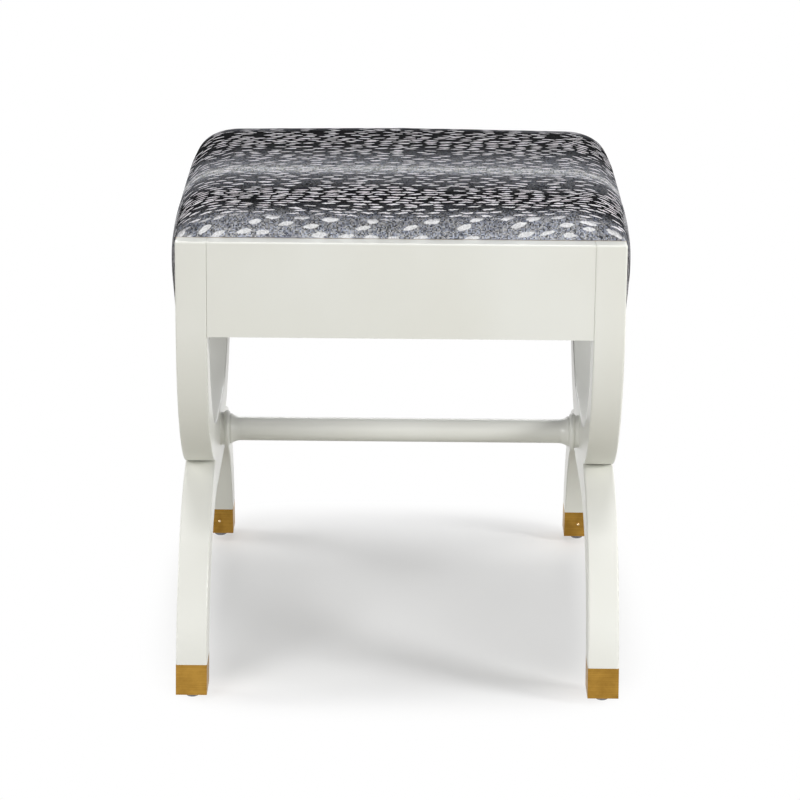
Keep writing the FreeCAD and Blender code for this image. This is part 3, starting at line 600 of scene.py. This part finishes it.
def sideLine(swell, height, width):
    # Half width and height up one side, from the lower lip: a bow that stands out by the swell half way up,
    # then a shoulder, a quarter of a superellipse
    turn = edges["railTop"]
    rise = height * (1 - seat["sideFall"] / (edges["crownTop"] - edges["railTop"]))
    low, notch = edges["coverBottom"] + seat["clear"], edges["deckBottom"] + seat["clear"] * 2
    hang = np.linspace(low, notch, seat["hangCells"] + 1)
    z = np.concatenate([hang[:-1], np.linspace(notch, turn, seat["deckCells"] + 1)[:-1]])
    share = (z - low) / (turn - low)
    x = seat["lip"] + 4 * (swell - seat["lip"]) * share * (1 - share)
    around = np.linspace(0, math.pi / 2, seat["fineSteps"])
    power = 2 / seat["shoulderPower"]
    overX, overZ = evenly(seat["edgeCells"], width * (np.cos(around).clip(0) ** power - 1),
                          rise * np.sin(around) ** power)
    return np.append(x, seat["lip"] + overX) + edges["frameSide"], np.append(z, turn + overZ)


def outerFace():
    # A grid of points (along, across). Across runs up the left side, over the crown and down the right side.
    # Also gives even depths for the rows, and the count of columns in each side.
    y, height = depthProfile()
    beside = np.minimum(1, np.abs(y) / edges["armInside"])
    middle, end = seat["swell"]
    swell = end + (middle - end) * (1 - beside ** 2)
    narrow, wide = seat["shoulder"]
    width = narrow + (wide - narrow) * (y / edges["deckReach"]) ** 4
    sides = [sideLine(*line) for line in zip(swell, height, width)]
    sideX, sideZ = (np.array([side[i] for side in sides]) for i in (0, 1))
    u = np.linspace(-1, 1, seat["crownCells"] + 1)[1:-1]
    crownX = sideX[:, -1:] * u
    crownZ = sideZ[:, -1:] + (edges["railTop"] + height[:, None] - sideZ[:, -1:]) * (1 - u ** 2)
    x = np.concatenate([-sideX, crownX, sideX[:, ::-1]], 1)
    z = np.concatenate([sideZ, crownZ, sideZ[:, ::-1]], 1)
    outer = np.stack([x, np.broadcast_to(y[:, None], x.shape), z], -1)

    # The sides have even rows beyond the arms, where the rows of the crown crowd at its steep ends
    rows, cols = x.shape
    ends, hung = seat["endCells"], sideX.shape[1] - seat["edgeCells"]
    tail = np.linspace(y[-1 - ends], y[-1], ends + 1)
    evenY = np.concatenate([-tail[:0:-1], y[ends:rows - ends], tail[1:]])[:, None]
    outer[:, :hung, 1] = outer[:, cols - hung:, 1] = evenY
    return outer, evenY, hung


def innerFace(outer, evenY, hung):
    # The same grid just outside the rails and just above the deck, with even steps over the deck
    face = edges["frameSide"] + seat["clear"]
    level = np.linspace(-face, face, outer.shape[1] - 2 * hung + 2)[1:-1]
    inner = outer.copy()
    inner[..., 0] = np.concatenate([np.full(hung, -face), level, np.full(hung, face)])
    inner[..., 1] = evenY
    inner[..., 2] = np.minimum(outer[..., 2], edges["railTop"] + seat["clear"] / 2)
    return inner


def metresFromMiddle(outer):
    # Metres of cloth from the middle of the seat, along each line of the grid
    rows, cols, _ = outer.shape
    alongRun = np.cumsum(np.linalg.norm(np.diff(outer, axis=0, prepend=outer[:1]), axis=-1), 0)
    acrossRun = np.cumsum(np.linalg.norm(np.diff(outer, axis=1, prepend=outer[:, :1]), axis=-1), 1)
    return np.stack([acrossRun - acrossRun[:, cols // 2, None], alongRun - alongRun[rows // 2]], -1)


def shellCells(rows, cols):
    # Quads of the outer face, the inner face and the walls between their rims, and the rim's edges.
    # The hanging sides end at the arms, so the cells beyond them are left out.
    cells = quadGrid(rows, cols).reshape(rows - 1, cols - 1, 4)
    kept = np.ones((rows - 1, cols - 1), bool)
    ends = np.r_[0:seat["endCells"], rows - 1 - seat["endCells"]:rows - 1]
    hangs = np.r_[0:seat["hangCells"], cols - 1 - seat["hangCells"]:cols - 1]
    kept[np.ix_(ends, hangs)] = False
    cells = cells[kept]
    count = rows * cols
    sides = np.stack([cells, np.roll(cells, -1, 1)], -1).reshape(-1, 2)
    code = np.sort(sides, 1) @ [count, 1]
    _, first, times = np.unique(code, return_index=True, return_counts=True)
    rim = sides[first[times == 1]]
    wall = np.concatenate([rim[:, ::-1], rim + count], 1)
    return np.concatenate([cells, cells[:, ::-1] + count, wall]), rim


def seatShell():
    # Points, quads, metres of cloth, and which points are on a rim and on the outer face
    outer, evenY, hung = outerFace()
    rows, cols, _ = outer.shape
    quads, rim = shellCells(rows, cols)
    points = np.concatenate([outer, innerFace(outer, evenY, hung)]).reshape(-1, 3)
    metres = np.tile(metresFromMiddle(outer).reshape(-1, 2), (2, 1))
    used, renumbered = np.unique(quads, return_inverse=True)
    onRim, onOuter = np.isin(used % (rows * cols), rim), used < rows * cols
    return points[used], renumbered.reshape(-1, 4), metres[used], onRim, onOuter


def creaseRims(mesh, onRim):
    # Keeps the rims sharp for the subdivision
    ends = np.empty(len(mesh.edges) * 2, np.int32)
    mesh.edges.foreach_get("vertices", ends)
    crease = mesh.attributes.new("crease_edge", "FLOAT", "EDGE")
    crease.data.foreach_set("value", onRim[ends.reshape(-1, 2)].all(1).astype(np.float32))


def inflate(piece, free):
    # Cloth blown up from inside, held where it is stapled; no point travels further than the cap
    start = readPoints(piece.data)
    held = piece.vertex_groups.new(name="stapled")
    held.add(np.flatnonzero(~free).tolist(), 1.0, "REPLACE")
    blown = piece.modifiers.new("Cloth", "CLOTH")
    blown.settings.quality = seat["quality"]
    for kind, stiffness in seat["stiffness"].items():
        setattr(blown.settings, kind + "_stiffness", stiffness)
    blown.settings.use_pressure = True
    blown.settings.uniform_pressure_force = seat["pressure"]
    blown.settings.vertex_group_mass = "stapled"
    blown.settings.effector_weights.gravity = 0
    blown.point_cache.frame_start, blown.point_cache.frame_end = 1, seat["frames"]
    for number in range(1, seat["frames"] + 1):
        scene.frame_set(number)
    shaped = piece.evaluated_get(bpy.context.evaluated_depsgraph_get())
    move = readPoints(shaped.data) - start
    far = np.linalg.norm(move, axis=1, keepdims=True)
    piece.modifiers.remove(blown)
    piece.vertex_groups.remove(held)
    scene.frame_set(1)
    writePoints(piece.data, start + move * np.minimum(1, seat["cap"] / np.maximum(far, 1e-9)))
    print("seat swelled: mean %.1f mm, most %.1f mm" % (far[free].mean() * 1000, far.max() * 1000))


def keepClear(piece):
    # Pushes what swelled past the aprons or into the arms back out
    points = readPoints(piece.data)
    _, y, z = points.T
    arm = edges["armInside"] - seat["clear"]
    low = z < edges["deckBottom"]
    y[low] = np.clip(y[low], -arm, arm)
    y[:] = np.clip(y, -edges["deckReach"], edges["deckReach"])
    writePoints(piece.data, points)


shellPoints, shellQuads, shellMetres, shellRim, shellOuter = seatShell()
paddedSeat = buildPiece("padded_seat", shellPoints, shellQuads, finishes["printedCloth"])
layMetres(paddedSeat.data, shellMetres)
creaseRims(paddedSeat.data, shellRim)
inflate(paddedSeat, shellOuter & ~shellRim)
keepClear(paddedSeat)
applyModifier(paddedSeat, "SUBSURF", levels=1, render_levels=1)
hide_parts("seat_cover", "seat_foam", "left_side_padding", "right_side_padding")
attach(paddedSeat, "root")
print("padded seat:", len(paddedSeat.data.polygons), "faces")


# Hems: the cloth turned under each side rail

hemForm = {
    "squareness": 0.35,             # power of the cosine: less is squarer
    "aroundCells": 24,
    "alongCells": 40,
    "clear": 0.0001,                # gap to the rail
    "hang": 0.16,                   # metres of cloth from the deck's edge down to the hem
}


def turnedHem(name, side):
    # A rounded strip along the rail: profile points run round a flat oval, the path is the depth
    turn = np.linspace(0, 2 * math.pi, hemForm["aroundCells"] + 1)
    outside, inside = edges["frameSide"], edges["railInside"]
    thick = (edges["railBottom"] - edges["coverBottom"]) / 2
    oval = np.sign(np.cos(turn)) * np.abs(np.cos(turn)) ** hemForm["squareness"]
    reach = edges["armInside"] - seat["clear"] * 2
    points = np.empty((hemForm["alongCells"] + 1, len(turn), 3))
    points[..., 0] = side * (outside + inside) / 2 + (outside - inside) / 2 * oval
    points[..., 1] = np.linspace(-reach, reach, hemForm["alongCells"] + 1)[:, None]
    points[..., 2] = edges["coverBottom"] + thick + (thick - hemForm["clear"]) * np.sin(turn)
    hem = buildPiece(name, points, quadGrid(*points.shape[:2]), finishes["printedCloth"])
    x, y, _ = points.reshape(-1, 3).T
    down = side * (outside + hemForm["hang"]) - (x - side * outside)
    layMetres(hem.data, np.stack([down, y], -1))
    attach(hem, "root")


turnedHem("left_turned_hem", -1)
turnedHem("right_turned_hem", 1)


# Dust cloth under the seat

dust = {
    "sag": 0.0035,
    "thread": 0.0009,
    "thick": 0.0006,
    "clear": 0.0005,                # gap to the arms
    "notch": 0.0004,                # depth over which the corners are cut out
    "acrossCells": 64,
    "armCells": 60,                 # cells along the depth between the arms, and at each end
    "endCells": 5,
    "weaveBump": (0.3, 0.0003),
    "weaveShade": 0.15,
    "lintScale": 130.0,
    "tones": [(0.3, grey(0.010)), (0.75, grey(0.032))],
    "rough": 0.92,
}


def blackCambric():
    # Thin plain weave with pale lint
    material, tree, shader = newMaterial("blackCambric")
    x, y, _ = parted(tree, "XYZ", placed(tree))
    weave = crossedWaves(tree, (x, y), dust["thread"])
    lint = noise(tree, placed(tree), dust["lintScale"], detail=5.0, rough=0.7)
    shade = sums(tree, "ADD", sums(tree, "MULTIPLY", weave, dust["weaveShade"]), lint)
    feed(tree, shader.inputs["Base Color"], colourRamp(tree, shade, dust["tones"]))
    feed(tree, shader.inputs["Normal"], bump(tree, weave, *dust["weaveBump"]))
    shader.inputs["Roughness"].default_value = dust["rough"]
    return material


def dustCloth():
    # A sheet with its four corners cut out round the arms; its depth below its edge is sag (1-u^2)(1-v^2)
    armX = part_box("right_upper_yoke")[0].x - dust["clear"]
    armY = edges["armInside"] - dust["clear"]
    inner = np.linspace(-armY, armY, dust["armCells"] + 1)
    tail = np.linspace(armY + dust["notch"], dustHigh.y, dust["endCells"] + 1)
    y = np.concatenate([-tail[::-1], inner, tail])
    half = np.where(np.abs(y) < tail[0], dustHigh.x, armX)
    u = np.linspace(-1, 1, dust["acrossCells"] + 1)
    x = half[:, None] * u
    v = y[:, None] / dustHigh.y
    z = (dustLow.z + dustHigh.z) / 2 - dust["sag"] * (1 - u ** 2) * (1 - v ** 2)
    points = np.stack([x, np.broadcast_to(y[:, None], x.shape), z], -1)
    piece = buildPiece("dust_cloth", points, quadGrid(*x.shape), blackCambric())
    applyModifier(piece, "SOLIDIFY", thickness=dust["thick"], offset=0.0)
    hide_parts("dust_cover")
    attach(piece, "root")


dustCloth()
print("soft pieces set")


# Stage: white floor that keeps a soft shadow, lamps, camera

stage = {
    "floorSize": 24.0,
    "floor": grey(0.90),
    "bounce": (0.43, 0.42, 0.37, 1),    # tone of the floor for the light that it throws back
    "shadowLift": 0.10,                 # share of plain white in the floor that the camera sees
    "shadowSize": (0.245, 0.3225),      # half width and half depth of the patch that keeps the shadow
    "shadowMiddle": 0.0275,             # depth of its middle
    "shadowPower": 4.0,                 # squareness of its corners
    "shadowFade": (0.76, 1.16),         # it turns plain white between these shares of that size
    "sky": 0.15,                        # strength of the surround as a light
}
# Place, aim, width and height, and watts of each lamp
lamps = {
    "topBox": ((0, 0, 2.8), (0, 0, 0.2), (1.6, 1.6), 26),
    "rearBox": ((0, 3.0, 1.6), (0, 0, 0.25), (1.6, 1.2), 22),
    "frontLeftBox": ((-1.6, -2.9, 1.55), (0, 0, 0.25), (1.6, 1.2), 45),
    "frontRightBox": ((1.6, -2.9, 1.55), (0, 0, 0.25), (1.6, 1.2), 14),
    "leftBox": ((-2.2, 0.4, 1.25), (0, 0, 0.2), (1.0, 0.8), 18),
    "rightBox": ((2.2, 0.4, 1.25), (0, 0, 0.2), (1.0, 0.8), 6),
    "keyBox": ((2.15, -1.0, 0.98), (0, 0, 0.1), (0.65, 0.45), 33),
}
shot = {
    "place": (0.0002, -3.4724, 1.2327),
    "down": math.radians(15.894),
    "roll": 0.009,
    "lens": 148.5,                      # focal length and sensor in millimetres
    "sensor": 36.0,
    "clip": (0.1, 60.0),
}


def seenRays(tree):
    # 1 for what the camera sees itself, in a mirror or through glass
    path = tree.nodes.new("ShaderNodeLightPath")
    return sums(tree, "MAXIMUM", path.outputs["Is Camera Ray"],
                sums(tree, "MAXIMUM", path.outputs["Is Glossy Ray"], path.outputs["Is Transmission Ray"]))


def paleFloor():
    # Plain white to the eye, but for a patch that keeps the shadow. Distance from the patch's middle is
    # (|x/halfWidth|^power + |y/halfDepth|^power)^(1/power), a rounded box.
    material, tree, shader = newMaterial("paleFloor")
    seen = seenRays(tree)
    feed(tree, shader.inputs["Base Color"], blendColours(tree, seen, stage["bounce"], stage["floor"]))
    shader.inputs["Roughness"].default_value = 1.0
    shader.inputs["Specular IOR Level"].default_value = 0.0
    x, y, _ = parted(tree, "XYZ", placed(tree))
    y = sums(tree, "SUBTRACT", y, stage["shadowMiddle"])
    power = stage["shadowPower"]
    shares = [sums(tree, "POWER", sums(tree, "ABSOLUTE", sums(tree, "DIVIDE", run, half)), power)
              for run, half in zip((x, y), stage["shadowSize"])]
    away = sums(tree, "POWER", sums(tree, "ADD", *shares), 1 / power)
    glowShare = spread(tree, step(tree, away, *stage["shadowFade"]), stage["shadowLift"], 1.0)
    glow = tree.nodes.new("ShaderNodeEmission")
    mixed = tree.nodes.new("ShaderNodeMixShader")
    feed(tree, mixed.inputs[0], sums(tree, "MULTIPLY", seen, glowShare))
    tree.links.new(shader.outputs[0], mixed.inputs[1])
    tree.links.new(glow.outputs[0], mixed.inputs[2])
    tree.links.new(mixed.outputs[0], tree.nodes["Material Output"].inputs[0])
    line = np.linspace(-0.5, 0.5, 3) * stage["floorSize"]
    x, y = np.meshgrid(line, line)
    floor = buildPiece("floor", np.stack([x, y, 0 * x], -1), quadGrid(*x.shape), material)


def whiteSurround():
    # White to the eye, dim as a light
    world = bpy.data.worlds.new("surround")
    scene.world = world
    world.use_nodes = True
    tree = world.node_tree
    background = tree.nodes["Background"]
    background.inputs["Color"].default_value = grey(1.0)
    feed(tree, background.inputs["Strength"], spread(tree, seenRays(tree), stage["sky"], 1.0))


def softbox(name, place, aim, size, power):
    lamp = bpy.data.lights.new(name, "AREA")
    lamp.shape, lamp.energy = "RECTANGLE", power
    lamp.size, lamp.size_y = size
    box = bpy.data.objects.new(name, lamp)
    back = np.array(place) - np.array(aim)
    flat = math.hypot(back[0], back[1])
    box.location = place
    box.rotation_euler = (math.atan2(flat, back[2]), 0, math.atan2(back[0], -back[1]) if flat else 0)
    scene.collection.objects.link(box)


def camera():
    lens = bpy.data.cameras.new("camera")
    lens.sensor_width, lens.lens = shot["sensor"], shot["lens"]
    lens.clip_start, lens.clip_end = shot["clip"]
    eye = bpy.data.objects.new("camera", lens)
    eye.location = shot["place"]
    eye.rotation_mode = "QUATERNION"
    pitch = Quaternion((1, 0, 0), math.pi / 2 - shot["down"])
    eye.rotation_quaternion = pitch @ Quaternion((0, 0, 1), shot["roll"])
    scene.collection.objects.link(eye)
    scene.camera = eye


paleFloor()
whiteSurround()
for lampName, lampSetting in lamps.items():
    softbox(lampName, *lampSetting)
camera()
print("stage set")
